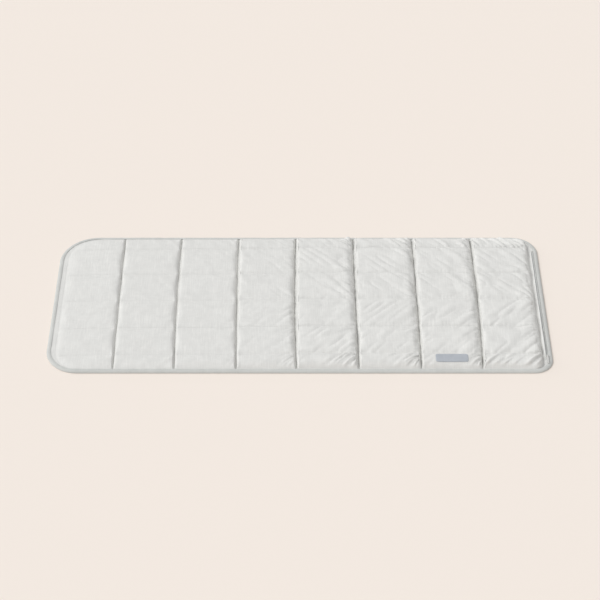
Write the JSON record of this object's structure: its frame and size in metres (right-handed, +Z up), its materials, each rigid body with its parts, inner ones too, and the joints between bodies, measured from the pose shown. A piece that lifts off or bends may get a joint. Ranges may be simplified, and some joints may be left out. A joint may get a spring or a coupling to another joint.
{
  "type": "quilted cooling mat",
  "caption": "Long thin quilted cloth mat in padded columns, bound all round with rounded corners, with a plain label and a zip along one end; it folds at its seams.",
  "frame": {"origin": "centre of the underside, on the surface that the mat lies on", "axes": "+X along the mat towards the zip end, +Y from the front edge (label side) to the back edge, +Z up through the quilting"},
  "size_m": [1.2, 0.5, 0.0211],
  "materials": {
    "quilt_cloth": "off-white slubbed linen-look weave, matt",
    "backing_cloth": "plain off-white weave, matt",
    "binding_tape": "pale grey woven tape, matt",
    "wadding": "white fibre wadding",
    "thread": "off-white sewing thread",
    "label_cloth": "blue-grey woven label, plain",
    "label_thread": "pale thread",
    "zip_cloth": "pale grey zip tape",
    "welt_cloth": "off-white cloth folded over the zip",
    "zip_nylon": "grey nylon coil",
    "zip_metal": "satin nickel"
  },
  "bodies": {
    "panel_1": {"top_panel_1": "quilt_cloth", "fill_1": "wadding", "backing_panel_1": "backing_cloth", "binding_1": "binding_tape", "cross_stitch_1": "thread", "end_stitching": "thread"},
    "panel_2": {"top_panel_2": "quilt_cloth", "fill_2": "wadding", "backing_panel_2": "backing_cloth", "binding_2": "binding_tape", "cross_stitch_2": "thread", "seam_thread_1": "thread"},
    "panel_3": {"top_panel_3": "quilt_cloth", "fill_3": "wadding", "backing_panel_3": "backing_cloth", "binding_3": "binding_tape", "cross_stitch_3": "thread", "seam_thread_2": "thread"},
    "panel_4": {"top_panel_4": "quilt_cloth", "fill_4": "wadding", "backing_panel_4": "backing_cloth", "binding_4": "binding_tape", "cross_stitch_4": "thread", "seam_thread_3": "thread", "seam_thread_4": "thread"},
    "panel_5": {"top_panel_5": "quilt_cloth", "fill_5": "wadding", "backing_panel_5": "backing_cloth", "binding_5": "binding_tape", "cross_stitch_5": "thread", "seam_thread_5": "thread"},
    "panel_6": {"top_panel_6": "quilt_cloth", "fill_6": "wadding", "backing_panel_6": "backing_cloth", "binding_6": "binding_tape", "cross_stitch_6": "thread", "seam_thread_6": "thread"},
    "panel_7": {"top_panel_7": "quilt_cloth", "fill_7": "wadding", "backing_panel_7": "backing_cloth", "binding_7": "binding_tape", "cross_stitch_7": "thread", "seam_thread_7": "thread", "label": "label_cloth", "label_stitching": "label_thread"},
    "panel_8": {"top_panel_8": "quilt_cloth", "fill_8": "wadding", "backing_panel_8": "backing_cloth", "binding_8": "binding_tape", "cross_stitch_8": "thread", "zip_tape": "zip_cloth", "zip_welt": "welt_cloth", "zip_coil": "zip_nylon", "zip_top_stop": "zip_nylon", "zip_bottom_stop": "zip_nylon"},
    "zip_slider": {"zip_slider": "zip_metal"},
    "zip_pull": {"zip_pull": "zip_metal"}
  },
  "joints": [
    {"name": "fold_1", "type": "hinge", "parent": "panel_2", "child": "panel_1", "pos_m": [-0.439, 0, 0.004], "axis": [0, 1, 0], "range_deg": [-42, 42]},
    {"name": "fold_2", "type": "hinge", "parent": "panel_3", "child": "panel_2", "pos_m": [-0.296, 0, 0.004], "axis": [0, 1, 0], "range_deg": [-42, 42]},
    {"name": "fold_3", "type": "hinge", "parent": "panel_4", "child": "panel_3", "pos_m": [-0.15, 0, 0.004], "axis": [0, 1, 0], "range_deg": [-42, 42]},
    {"name": "fold_4", "type": "hinge", "parent": "panel_4", "child": "panel_5", "pos_m": [-0.0075, 0, 0.004], "axis": [0, -1, 0], "range_deg": [-42, 42]},
    {"name": "fold_5", "type": "hinge", "parent": "panel_5", "child": "panel_6", "pos_m": [0.139, 0, 0.004], "axis": [0, -1, 0], "range_deg": [-42, 42]},
    {"name": "fold_6", "type": "hinge", "parent": "panel_6", "child": "panel_7", "pos_m": [0.2875, 0, 0.004], "axis": [0, -1, 0], "range_deg": [-42, 42]},
    {"name": "fold_7", "type": "hinge", "parent": "panel_7", "child": "panel_8", "pos_m": [0.434, 0, 0.004], "axis": [0, -1, 0], "range_deg": [-42, 42]},
    {"name": "zip_slide", "type": "slide", "parent": "panel_8", "child": "zip_slider", "axis": [0, 1, 0], "range_m": [0, 0.38]},
    {"name": "zip_pull_turn", "type": "hinge", "parent": "zip_slider", "child": "zip_pull", "pos_m": [0.587, -0.1985, 0.0106], "axis": [-1, 0, 0], "range_deg": [0, 160]}
  ]
}
